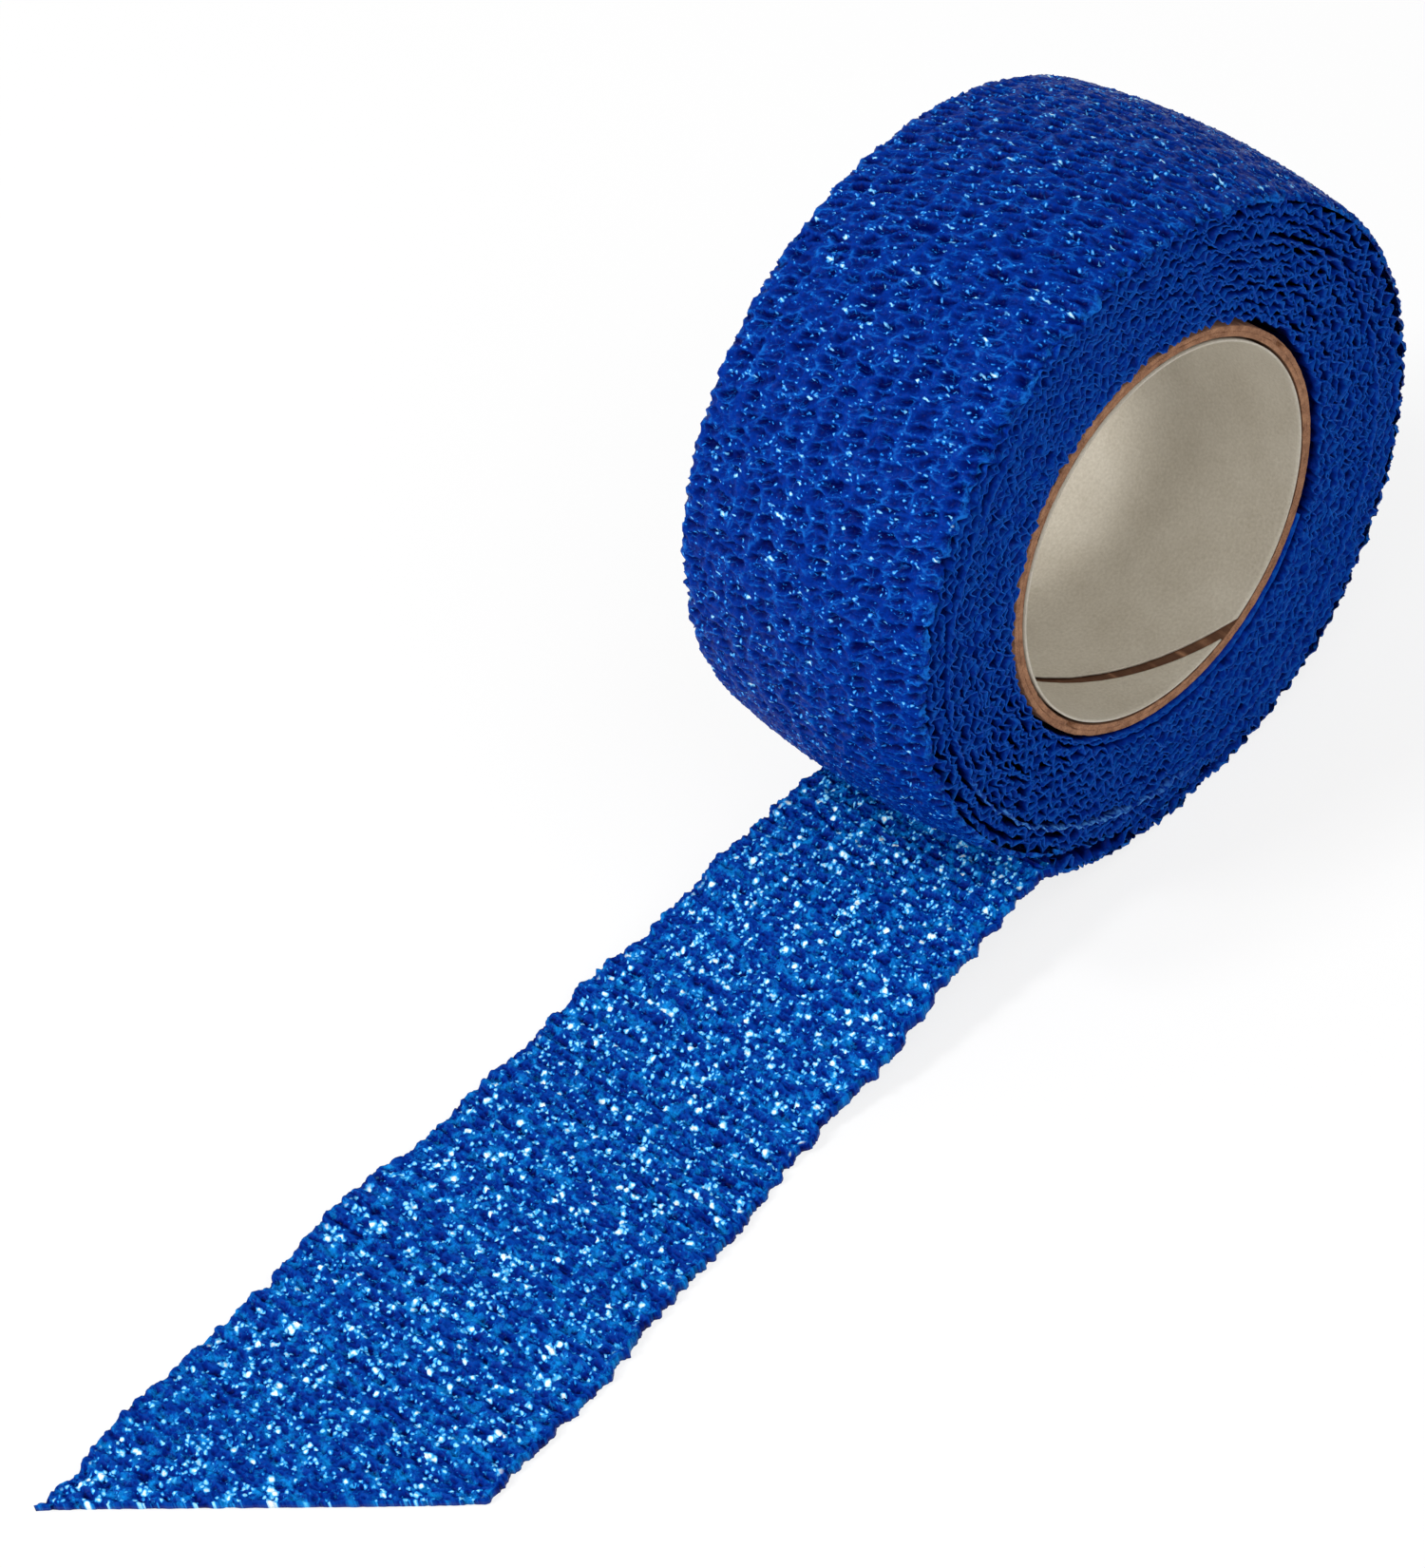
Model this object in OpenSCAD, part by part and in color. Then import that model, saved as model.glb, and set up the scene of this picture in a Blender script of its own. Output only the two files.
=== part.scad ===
// Roll of self-adherent elastic bandage on a card core, with a length of the strip pulled off.
// Millimetres. The origin is the centre of the core, Y runs along the core and Z is up.
// The roll stands on Z = -roll_d / 2 and the strip leaves its underside towards -X.

/* [Roll] */

// Outside diameter over the last turn
roll_d = 57.2; // [52:0.2:66]
// Width of the strip on the roll
strip_w = 25.4; // [20:0.2:30]
// Turns of strip under the last one
turns = 9; // [6:1:10]

/* [Core] */

// Bore of the card core
core_id = 32.5; // [28:0.25:34]
// How far each end of the core sits inside the edges of the strip
core_recess = 0.3; // [0:0.05:1]
// Thickness of the pale inner ply
liner_t = 0.22; // [0.15:0.01:0.3]
// Thickness of each brown ply
ply_t = 0.4; // [0.3:0.05:0.6]
// Width of the open butt seam in the inner ply
seam_w = 0.8; // [0.4:0.1:1.5]
// Angle round the bore where the seam meets the -Y end
seam_a = -71; // [-180:1:180]

/* [Strip] */

// Thickness of each crinkled web
web_t = 0.16; // [0.1:0.01:0.2]
// Thickness of an elastic yarn between the webs
yarn_t = 0.16; // [0.1:0.01:0.2]
// Width of an elastic yarn
yarn_w = 0.3; // [0.2:0.05:0.5]
// Distance between neighbouring yarns
yarn_pitch = 1.4; // [1:0.1:3]
// Bare margin between the outermost yarn and the cut edge
edge_margin = 0.7; // [0.5:0.1:2]

/* [Tail] */

// Flat length of the strip under the roll, before the pulled length starts
lead_len = 20; // [16:1:24]
// Width where the strip has just been pulled off the turn
neck_w = 24.2; // [20:0.2:28]
// Width at the relaxed free end
end_w = 28.6; // [22:0.2:32]
// Sideways offset of the tail where the lead ends
tail_shift = 2.9; // [0:0.1:4]
// Turn of the tail towards -Y
tail_yaw = 3.6; // [0:0.1:8]
// Length of the tail along its middle, from the end of the lead
tail_len = 78; // [60:1:100]
// Distance from the end of the lead to the fold line
fold_at = 40; // [30:1:50]
// Slant of the cut free end
snip_a = 37; // [0:1:40]

/* [Fits] */

// Adhesive line between neighbouring layers
glue_t = 0.07; // [0.06:0.01:0.1]
// Running gap between the turns that spin and the last turn
run_gap = 0.4; // [0.3:0.05:0.8]
// Least gap between the core and the first turn
seat_gap = 0.15; // [0.1:0.05:0.5]
// Gap between the start of the last turn and the strip passing under it
nip_gap = 0.4; // [0.3:0.05:0.8]
// Gap between two sections of the strip
section_gap = 0.5; // [0.4:0.1:1]

/* [Hidden] */

$fn = 96;
roll_r = roll_d / 2;
bore_r = core_id / 2;
strip_t = 2 * web_t + yarn_t + 2 * glue_t;
layer_off = (web_t + yarn_t) / 2 + glue_t;

liner_r = bore_r + liner_t;
middle_r = liner_r + glue_t + ply_t;
core_r = middle_r + glue_t + ply_t;
core_w = strip_w - 2 * core_recess;
seam_reach = 1.06;
seam_tilt = atan(seam_reach * core_w / 2 / bore_r);

spin_r = roll_r - strip_t - run_gap;
pitch_step = 0.04;
pitch = floor((spin_r - core_r - seat_gap - strip_t) / turns / pitch_step) * pitch_step;
first_r = spin_r - strip_t / 2 - turns * pitch + pitch / 4;
last_r = roll_r - strip_t / 2;
nip_a = acos(1 - (strip_t + nip_gap) / roll_r);

yarns = floor((min(strip_w, neck_w) - 2 * edge_margin - yarn_w) / yarn_pitch) + 1;
bed_z = -roll_r;
mid_z = bed_z + strip_t / 2;

function half_r(j) = first_r + j * pitch / 2;
function half_c(j) = (j % 2 == 0 ? 1 : -1) * pitch / 4;
function half_width(u) = (neck_w + (end_w - neck_w) * u / tail_len) / 2;
function yarn_y(i) = (i - (yarns - 1) / 2) * yarn_pitch;
function lead_u(v) = section_gap / cos(tail_yaw) + v * tan(tail_yaw);
function snip_u(v) = tail_len - v * tan(snip_a);

// A point on the strip's middle, at angle a (0 to 180) along half turn j
function wind_pt(j, a) = let (s = j % 2 == 0 ? -1 : 1, d = j % 2 == 0 ? -1 : 1)
    [s * half_r(j) * sin(a), half_c(j) + d * half_r(j) * cos(a)];
function wind_path() = [for (j = [0 : 2 * turns - 1]) for (a = [0 : 6 : 174]) wind_pt(j, a)];
path = wind_path();
per_turn = 60;
turn_gap = min([for (i = [0 : len(path) - per_turn - 1])
    min([for (k = [-2 : 2]) norm(path[i] - path[min(i + per_turn + k, len(path) - 1)])])]) - strip_t;
wound_len = PI * turns * (half_r(0) + half_r(2 * turns - 1));
echo(loops = turns + 1, least_gap = turn_gap, pitch = pitch, yarns = yarns);
echo(strip_length = wound_len + 2 * PI * last_r * (1 - nip_a / 360) + lead_len + tail_len);

// Stand a flat profile up so that it is w wide along Y, its middle at y
module across(w, y = 0) {
    translate([0, y, 0]) rotate([90, 0, 0]) linear_extrude(height = w, center = true) children();
}

// A ring of mean radius r and wall t
module ring(r, t) {
    difference() {
        circle(r = r + t / 2);
        circle(r = r - t / 2);
    }
}

// The spiral of the inner turns: half turns on two centres, off from the strip's middle
module turns_profile(off, t) {
    for (j = [0 : 2 * turns - 1])
        translate([0, half_c(j)])
            intersection() {
                ring(half_r(j) + off, t);
                translate([j % 2 == 0 ? -roll_d : 0, -roll_d]) square([roll_d, 2 * roll_d]);
            }
}

// The last turn, open at the nip, and the flat length that leaves it under the roll
module lead_profile(off, t) {
    difference() {
        ring(last_r + off, t);
        polygon([[0, 0], [0, -roll_d], [-roll_d * tan(nip_a), -roll_d]]);
    }
    translate([-lead_len, -last_r - off - t / 2]) square([lead_len, t]);
}

// The tail's own axes: X along it from the end of the lead, Y towards the near edge
module tail_axes(off) {
    translate([-lead_len, tail_shift, mid_z - off]) rotate([0, 0, 180 + tail_yaw]) children();
}

// The tail from the lead's square end to the fold, as a plan
module tail_plan() {
    h0 = neck_w / 2;
    h1 = half_width(tail_u1);
    polygon([[lead_u(-h0), -h0], [tail_u1, -h1], [tail_u1, h1], [lead_u(h0), h0]]);
}

// The free end beyond the fold, as a plan with its slanted cut
module end_plan() {
    h0 = half_width(end_u0);
    far = half_width(snip_u(-end_w / 2));
    near = half_width(snip_u(end_w / 2));
    polygon([[end_u0, -h0], [snip_u(-far), -far], [snip_u(near), near], [end_u0, h0]]);
}

module slab(t) {
    translate([0, 0, -t / 2]) linear_extrude(height = t) children();
}

tail_u1 = fold_at - section_gap / 2;
end_u0 = fold_at + section_gap / 2;

// Card core, inside to outside

module core_liner() {
    color([0.86, 0.86, 0.84])
        difference() {
            across(core_w) ring(bore_r + liner_t / 2, liner_t);
            rotate([0, -180 - seam_a, 0]) rotate([0, 0, seam_tilt])
                translate([-roll_r, -seam_w / 2, 0]) cube([roll_d, seam_w, roll_r]);
        }
}

module core_middle_ply() {
    color([0.55, 0.38, 0.24]) across(core_w) ring(middle_r - ply_t / 2, ply_t);
}

module core_outer_ply() {
    color([0.62, 0.43, 0.28]) across(core_w) ring(core_r - ply_t / 2, ply_t);
}

// Inner turns of the strip, which spin with the core

module turns_inner_web() {
    color([0.02, 0.19, 0.62]) across(strip_w) turns_profile(-layer_off, web_t);
}

module turns_yarns() {
    color([0.45, 0.62, 0.85])
        for (i = [0 : yarns - 1]) across(yarn_w, yarn_y(i)) turns_profile(0, yarn_t);
}

module turns_outer_web() {
    color([0.02, 0.22, 0.68]) across(strip_w) turns_profile(layer_off, web_t);
}

// Last turn and the length that lies under the roll

module lead_inner_web() {
    color([0.02, 0.19, 0.62]) across(strip_w) lead_profile(-layer_off, web_t);
}

module lead_yarns() {
    color([0.45, 0.62, 0.85])
        for (i = [0 : yarns - 1]) across(yarn_w, yarn_y(i)) lead_profile(0, yarn_t);
}

module lead_outer_web() {
    color([0.02, 0.22, 0.68]) across(strip_w) lead_profile(layer_off, web_t);
}

// Pulled length between the roll and the fold

module tail_inner_web() {
    color([0.02, 0.19, 0.62]) tail_axes(-layer_off) slab(web_t) tail_plan();
}

module tail_yarns() {
    color([0.45, 0.62, 0.85])
        tail_axes(0)
            for (i = [0 : yarns - 1]) {
                y0 = yarn_y(i) - yarn_w / 2;
                y1 = yarn_y(i) + yarn_w / 2;
                slab(yarn_t) polygon([[lead_u(y0), y0], [tail_u1, y0], [tail_u1, y1], [lead_u(y1), y1]]);
            }
}

module tail_outer_web() {
    color([0.02, 0.22, 0.68]) tail_axes(layer_off) slab(web_t) tail_plan();
}

// Free end beyond the fold

module end_inner_web() {
    color([0.02, 0.19, 0.62]) tail_axes(-layer_off) slab(web_t) end_plan();
}

module end_yarns() {
    color([0.45, 0.62, 0.85])
        tail_axes(0)
            for (i = [0 : yarns - 1]) {
                y0 = yarn_y(i) - yarn_w / 2;
                y1 = yarn_y(i) + yarn_w / 2;
                slab(yarn_t) polygon([[end_u0, y0], [snip_u(y0), y0], [snip_u(y1), y1], [end_u0, y1]]);
            }
}

module end_outer_web() {
    color([0.02, 0.22, 0.68]) tail_axes(layer_off) slab(web_t) end_plan();
}

core_liner();
core_middle_ply();
core_outer_ply();
turns_inner_web();
turns_yarns();
turns_outer_web();
lead_inner_web();
lead_yarns();
lead_outer_web();
tail_inner_web();
tail_yarns();
tail_outer_web();
end_inner_web();
end_yarns();
end_outer_web();
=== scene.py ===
import math

import bpy
import numpy as np
from mathutils import Matrix, Vector


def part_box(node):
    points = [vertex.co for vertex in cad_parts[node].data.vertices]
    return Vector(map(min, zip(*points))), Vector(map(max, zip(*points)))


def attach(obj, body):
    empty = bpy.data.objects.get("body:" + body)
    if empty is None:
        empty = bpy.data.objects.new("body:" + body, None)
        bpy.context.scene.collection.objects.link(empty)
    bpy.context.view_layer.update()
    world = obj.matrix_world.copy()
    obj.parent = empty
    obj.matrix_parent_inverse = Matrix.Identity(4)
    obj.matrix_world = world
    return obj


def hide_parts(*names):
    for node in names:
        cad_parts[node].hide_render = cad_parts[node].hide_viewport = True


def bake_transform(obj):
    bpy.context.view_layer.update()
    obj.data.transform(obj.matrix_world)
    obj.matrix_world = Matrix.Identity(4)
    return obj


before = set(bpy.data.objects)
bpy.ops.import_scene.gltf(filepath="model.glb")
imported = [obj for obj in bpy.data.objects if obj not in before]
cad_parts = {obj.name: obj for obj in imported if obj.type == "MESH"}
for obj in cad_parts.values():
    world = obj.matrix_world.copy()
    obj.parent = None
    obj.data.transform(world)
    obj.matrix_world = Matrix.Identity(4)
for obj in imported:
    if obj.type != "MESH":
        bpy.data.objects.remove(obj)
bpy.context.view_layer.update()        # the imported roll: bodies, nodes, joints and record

scene = bpy.context.scene
MM = 0.001

# Table, light and camera
# A white table top lit by a pale sky and four soft boxes, with the camera at the photo's own viewpoint: above
# the free end of the strip, to the left of the roll and tipped a little.
TABLE_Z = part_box("lead_outer_web")[0].z
TABLE_SIDE = 3.0
TABLE_GLOW = 0.8
SKY_LIGHT = 0.42
LIGHT_AIM = Vector((-0.01, 0.0, 0.0))
SOFT_BOXES = {                      # place in metres, power in watts and side
    "window_box": ((-0.50, 0.20, 0.46), 2.0, 160 * MM),
    "front_box": ((-0.02, -0.48, 0.60), 1.8, 500 * MM),
    "back_box": ((-0.26, 0.24, 0.70), 1.4, 120 * MM),
    "fill_box": ((-0.60, -0.22, 0.20), 0.6, 300 * MM),
}
AIM = Vector((-24.0, 20.8, -28.6)) * MM
CAMERA_DISTANCE = 473.2 * MM
CAMERA_AZIMUTH = math.radians(-35.99)
CAMERA_ELEVATION = math.radians(46.2)
CAMERA_TIP = math.radians(13.74)
CAMERA_LENS = 130.9
CAMERA_CLIP = 10 * MM


def add(tree, kind, inputs=(), **settings):
    """Adds one node. Its inputs, by name, by number or in order, take values, sockets or whole nodes."""
    node = tree.nodes.new(kind)
    for name, value in settings.items():
        setattr(node, name, value)
    for key, value in inputs.items() if isinstance(inputs, dict) else enumerate(inputs):
        if isinstance(value, bpy.types.Node):
            value = value.outputs[0]
        if isinstance(value, bpy.types.NodeSocket):
            tree.links.new(value, node.inputs[key])
        else:
            node.inputs[key].default_value = value
    return node


def linear(code):
    """An sRGB hex colour as linear RGBA."""
    shares = [int(code[i:i + 2], 16) / 255 for i in (1, 3, 5)]
    return [s / 12.92 if s <= 0.04045 else ((s + 0.055) / 1.055) ** 2.4 for s in shares] + [1.0]


def seen_directly(tree):
    """1 for rays that show the background itself: to the camera, in a reflection or through glass."""
    path = add(tree, "ShaderNodeLightPath").outputs
    shown = path["Is Camera Ray"]
    for ray in ("Is Glossy Ray", "Is Transmission Ray"):
        shown = add(tree, "ShaderNodeMath", (shown, path[ray]), operation="MAXIMUM")
    return shown


table = bpy.data.materials.new("white_laminate_table")
table.use_nodes = True
tree = table.node_tree
tree.nodes.clear()
matt = add(tree, "ShaderNodeBsdfDiffuse", {"Color": linear("#F7F7F7")})
glow = add(tree, "ShaderNodeEmission", {"Color": linear("#FFFFFF"), "Strength": 1.0})
share = add(tree, "ShaderNodeMath", (seen_directly(tree), TABLE_GLOW), operation="MULTIPLY")
mixed = add(tree, "ShaderNodeMixShader", (share, matt, glow))
add(tree, "ShaderNodeOutputMaterial", {"Surface": mixed})

half = TABLE_SIDE / 2
corners = [(-half, -half, TABLE_Z), (half, -half, TABLE_Z), (half, half, TABLE_Z), (-half, half, TABLE_Z)]
top = bpy.data.meshes.new("table_top")
top.from_pydata(corners, [], [(0, 1, 2, 3)])
top.materials.append(table)
table_top = bpy.data.objects.new("table_top", top)
scene.collection.objects.link(table_top)

world = bpy.data.worlds.new("pale_sky")
world.use_nodes = True
scene.world = world
tree = world.node_tree
tree.nodes.clear()
level = add(tree, "ShaderNodeMapRange", {"Value": seen_directly(tree), "To Min": SKY_LIGHT, "To Max": 1.0})
sky = add(tree, "ShaderNodeBackground", {"Color": linear("#FFFFFF"), "Strength": level})
add(tree, "ShaderNodeOutputWorld", {"Surface": sky})

for name, (place, power, side) in SOFT_BOXES.items():
    lamp = bpy.data.lights.new(name, "AREA")
    lamp.energy = power
    lamp.size = side
    box = bpy.data.objects.new(name, lamp)
    box.location = place
    box.rotation_euler = (LIGHT_AIM - Vector(place)).to_track_quat("-Z", "Y").to_euler()
    scene.collection.objects.link(box)

back = Vector((math.sin(CAMERA_AZIMUTH) * math.cos(CAMERA_ELEVATION),
               -math.cos(CAMERA_AZIMUTH) * math.cos(CAMERA_ELEVATION), math.sin(CAMERA_ELEVATION)))
level_right = Vector((math.cos(CAMERA_AZIMUTH), math.sin(CAMERA_AZIMUTH), 0.0))
level_up = back.cross(level_right)
right = level_right * math.cos(CAMERA_TIP) - level_up * math.sin(CAMERA_TIP)
up = level_up * math.cos(CAMERA_TIP) + level_right * math.sin(CAMERA_TIP)
camera_data = bpy.data.cameras.new("photo_camera")
camera_data.lens = CAMERA_LENS
camera_data.clip_start = CAMERA_CLIP
camera = bpy.data.objects.new("photo_camera", camera_data)
camera.matrix_world = Matrix.LocRotScale(AIM + back * CAMERA_DISTANCE,
                                         Matrix((right, up, back)).transposed(), None)
scene.collection.objects.link(camera)
scene.camera = camera
scene.view_settings.view_transform = "Standard"

# Card core, brown plies
# Two plies of brown kraft card wound in a spiral, glued and sawn to length. The saw leaves the cut ends
# furry, with a small tear in each ply on the near rim.
GLUE = 0.01 * MM
PLY_STEPS = 420
PLY_BEVEL = 0.06 * MM
SAW_FUR, FUR_ON_WALL = 0.05 * MM, 0.3
TEARS = {"core_outer_ply": (math.radians(28), math.radians(2.2), 0.55 * MM),
         "core_middle_ply": (math.radians(-141), math.radians(1.7), 0.6 * MM)}
CORE_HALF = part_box("core_outer_ply")[1].y
LINER_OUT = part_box("core_liner")[1].x
MIDDLE_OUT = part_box("core_middle_ply")[1].x
CORE_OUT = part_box("core_outer_ply")[1].x


def plain_mesh(name, points, faces, material, smooth=True):
    """A mesh object from points in metres and faces as rows of point numbers."""
    mesh = bpy.data.meshes.new(name)
    mesh.from_pydata(points.tolist(), [], faces.tolist())
    mesh.polygons.foreach_set("use_smooth", np.full(len(mesh.polygons), smooth))
    mesh.materials.append(material)
    mesh.validate()
    piece = bpy.data.objects.new(name, mesh)
    scene.collection.objects.link(piece)
    return piece


def grid_faces(rows, columns, wrap_rows=False, wrap_columns=False):
    """Four-cornered faces of a grid of points that is numbered row by row."""
    i = np.arange(rows if wrap_rows else rows - 1)[:, None]
    j = np.arange(columns if wrap_columns else columns - 1)[None, :]
    below, beside = (i + 1) % rows, (j + 1) % columns
    corners = (i * columns + j, below * columns + j, below * columns + beside, i * columns + beside)
    return np.stack(corners, -1).reshape(-1, 4)


def smooth_noise(rng, shape, reach):
    """Random values of unit spread, smoothed along the last axis over about this many samples."""
    window = np.hanning(2 * reach + 3)
    raw = rng.standard_normal((*shape[:-1], shape[-1] + 2 * reach + 2))
    soft = np.apply_along_axis(np.convolve, -1, raw, window, mode="valid")
    return soft / soft.std()


def new_material(name):
    """A material with its main shader, ready for patterns."""
    material = bpy.data.materials.new(name)
    material.use_nodes = True
    return material, material.node_tree, material.node_tree.nodes["Principled BSDF"]


def kraft_card():
    """Unbleached brown card: dull, with pressed fibres, darker specks and glue stains on its inside."""
    fibre_length, fibre_width, mottle_size = 1.2 * MM, 0.12 * MM, 0.9 * MM
    stain_from, stain_to, stain = LINER_OUT + 0.02 * MM, LINER_OUT + 0.05 * MM, 0.85
    material, tree, shader = new_material("kraft_card")
    place = add(tree, "ShaderNodeTexCoord").outputs["Object"]
    stretch = add(tree, "ShaderNodeMapping",
                  {"Vector": place, "Scale": (1.0, fibre_width / fibre_length, 1.0)})
    fibres = add(tree, "ShaderNodeTexNoise",
                 {"Vector": stretch, "Scale": 1 / fibre_width, "Detail": 3.0, "Roughness": 0.6})
    mottle = add(tree, "ShaderNodeTexNoise", {"Vector": place, "Scale": 1 / mottle_size, "Detail": 4.0})
    both = add(tree, "ShaderNodeMix", {0: 0.5, 2: fibres, 3: mottle})
    tone = add(tree, "ShaderNodeValToRGB", {"Fac": both})
    tone.color_ramp.elements[0].position, tone.color_ramp.elements[0].color = 0.34, linear("#6E4934")
    tone.color_ramp.elements[1].position, tone.color_ramp.elements[1].color = 0.66, linear("#AE8060")
    flat = add(tree, "ShaderNodeVectorMath", (place, (1.0, 0.0, 1.0)), operation="MULTIPLY")
    radius = add(tree, "ShaderNodeVectorMath", (flat,), operation="LENGTH").outputs["Value"]
    stained = add(tree, "ShaderNodeMapRange", (radius, stain_from, stain_to, stain, 0.0))
    colour = add(tree, "ShaderNodeMix", {0: stained, 6: tone, 7: linear("#4A2E1E")}, data_type="RGBA")
    bump = add(tree, "ShaderNodeBump", {"Height": fibres, "Strength": 0.6, "Distance": 0.05 * MM})
    tree.links.new(colour.outputs[2], shader.inputs["Base Color"])
    tree.links.new(bump.outputs[0], shader.inputs["Normal"])
    shader.inputs["Roughness"].default_value = 0.85
    shader.inputs["Specular IOR Level"].default_value = 0.25
    return material


kraft = kraft_card()
draw = np.random.default_rng(11)
for node, inner, outer in (("core_middle_ply", LINER_OUT + GLUE, MIDDLE_OUT),
                           ("core_outer_ply", MIDDLE_OUT + GLUE, CORE_OUT)):
    third = (outer - inner) / 3
    end = CORE_HALF - PLY_BEVEL
    near_rim = [(inner, -end), (inner + PLY_BEVEL, -CORE_HALF), (inner + third, -CORE_HALF),
                (outer - third, -CORE_HALF), (outer - PLY_BEVEL, -CORE_HALF), (outer, -end)]
    profile = np.array(near_rim + [(r, -y) for r, y in reversed(near_rim)])
    turn = np.linspace(0, 2 * math.pi, PLY_STEPS, endpoint=False)
    fur = smooth_noise(draw, (len(profile), PLY_STEPS), 1).T * SAW_FUR
    on_rim = np.abs(profile[:, 1]) > end + PLY_BEVEL / 2
    tear_at, tear_width, tear_depth = TEARS[node]
    off_centre = np.angle(np.exp(1j * (turn - tear_at)))
    tear = np.exp(-(off_centre / tear_width) ** 2) * tear_depth
    radius = profile[:, 0] + FUR_ON_WALL * fur
    along = profile[:, 1] - np.sign(profile[:, 1]) * on_rim * np.abs(fur)
    along += tear[:, None] * (profile[:, 1] < 0) * on_rim
    angle = turn[:, None]
    rings = np.stack((radius * np.cos(angle), along, radius * np.sin(angle)), -1)
    faces = grid_faces(PLY_STEPS, len(profile), wrap_rows=True, wrap_columns=True)
    ply = plain_mesh("brown_" + node, rings.reshape(-1, 3), faces, kraft)
    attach(ply, "roll")
    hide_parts(node)

# Paper liner
# One strip of pale coated paper wound round the bore in a spiral. Its two edges don't quite meet, so a
# slanted slit shows the brown card behind it.
LINER_IN = 16.25 * MM
SLIT_START = math.radians(-71)
SLIT_TWIST = math.radians(-6.9) / MM
SLIT_DEEP, SLIT_NEAR, SLIT_FADE = 2.5 * MM, 2.2 * MM, 5 * MM
LINER_STEPS, LINER_ROWS = 400, 64
PAPER_RIPPLE, RIPPLE_STEPS = 0.02 * MM, 25


def coated_paper():
    """Grey-white board paper with a dull clay coat: faint cloudy tone, tiny flecks and a slight sheen."""
    cloud_size, fleck_size = 5 * MM, 0.25 * MM
    material, tree, shader = new_material("clay_coated_paper")
    place = add(tree, "ShaderNodeTexCoord").outputs["Object"]
    cloud = add(tree, "ShaderNodeTexNoise", {"Vector": place, "Scale": 1 / cloud_size, "Detail": 5.0})
    fleck = add(tree, "ShaderNodeTexNoise", {"Vector": place, "Scale": 1 / fleck_size, "Detail": 2.0})
    both = add(tree, "ShaderNodeMix", {0: 0.55, 2: cloud, 3: fleck})
    tone = add(tree, "ShaderNodeValToRGB", {"Fac": both})
    tone.color_ramp.elements[0].position, tone.color_ramp.elements[0].color = 0.3, linear("#AFA695")
    tone.color_ramp.elements[1].position, tone.color_ramp.elements[1].color = 0.7, linear("#C9C2B3")
    bump = add(tree, "ShaderNodeBump", {"Height": fleck, "Strength": 0.25, "Distance": 0.02 * MM})
    tree.links.new(tone.outputs[0], shader.inputs["Base Color"])
    tree.links.new(bump.outputs[0], shader.inputs["Normal"])
    shader.inputs["Roughness"].default_value = 0.5
    shader.inputs["Specular IOR Level"].default_value = 0.35
    return material


y = np.linspace(-CORE_HALF, CORE_HALF, LINER_ROWS)[None, :]
share = np.linspace(0, 1, LINER_STEPS)[:, None]
slit = SLIT_START + SLIT_TWIST * (y + CORE_HALF)
opening = (SLIT_DEEP + (SLIT_NEAR - SLIT_DEEP) * np.exp(-(y + CORE_HALF) / SLIT_FADE)) / LINER_IN
angle = slit + opening / 2 + share * (2 * math.pi - opening)
ripple = smooth_noise(np.random.default_rng(12), (LINER_ROWS, LINER_STEPS), RIPPLE_STEPS).T * PAPER_RIPPLE
radius = LINER_IN + np.abs(ripple)
sheet = np.stack((radius * np.cos(angle), y + 0 * angle, radius * np.sin(angle)), -1)
liner = plain_mesh("paper_liner", sheet.reshape(-1, 3), grid_faces(LINER_STEPS, LINER_ROWS), coated_paper())
wall = liner.modifiers.new("paper_thickness", "SOLIDIFY")
wall.thickness = LINER_OUT - LINER_IN - 2 * PAPER_RIPPLE
wall.offset = 1.0
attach(liner, "roll")
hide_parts("core_liner")

# Wound turns
# The strip is two crinkled non-woven webs with elastic yarns between them. Wound on the core, the edges of
# the webs buckle apart and touch their neighbours, so both sides of the roll look like blue foam. The inner
# web of the last turn is made with them, and leaves the roll where the strip peels off.
STRIP_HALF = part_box("lead_outer_web")[1].y
ROLL_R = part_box("lead_outer_web")[1].z
EDGE_PROUD = 0.3
TURNS = 10.5
SEAT_GAP, SKIN, SPIN_ROOM = 0.24 * MM, 0.3 * MM, 0.65 * MM
WOUND_IN = CORE_OUT + SEAT_GAP
TURN_PITCH = (ROLL_R - SKIN - WOUND_IN) / TURNS
LAST_TURN_SWEEP = math.radians(372)
WOUND_OUT = ROLL_R - SPIN_ROOM - TURN_PITCH * LAST_TURN_SWEEP / (2 * math.pi)
WOUND_TURNS = (WOUND_OUT - WOUND_IN) / TURN_PITCH
WOUND_ZIGZAG, LAST_ZIGZAG = 0.58 * MM, 0.85 * MM
SMOOTH_TURN_R = 24.9 * MM
CORE_DIP = 0.45 * MM
LAST_WEB_DROP = 0.8 * MM
LAST_WEB_OUT = ROLL_R - LAST_WEB_DROP
PEEL = math.radians(42)
PEEL_LOOSE, PEEL_DRIFT, PEEL_NARROW = 1.1, 1.65, 0.12      # two in millimetres, and a share of the width


def web_shader(shader):
    """Non-woven web soaked in cohesive latex: nearly matt, with small wet glints on its sharp folds."""
    shader.inputs["Roughness"].default_value = 0.24
    shader.inputs["Specular IOR Level"].default_value = 0.015


def three_tones(tree, height, valley, body, crest):
    """Painted shade in the folds, the web's own colour on their sides and a painted highlight on the crests.
    """
    tone = add(tree, "ShaderNodeValToRGB", {"Fac": height})
    ramp = tone.color_ramp.elements
    ramp[0].position, ramp[0].color = 0.0, linear(valley)
    ramp[1].position, ramp[1].color = 1.0, linear(crest)
    ramp.new(0.5).color = linear(body)
    return tone


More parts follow.
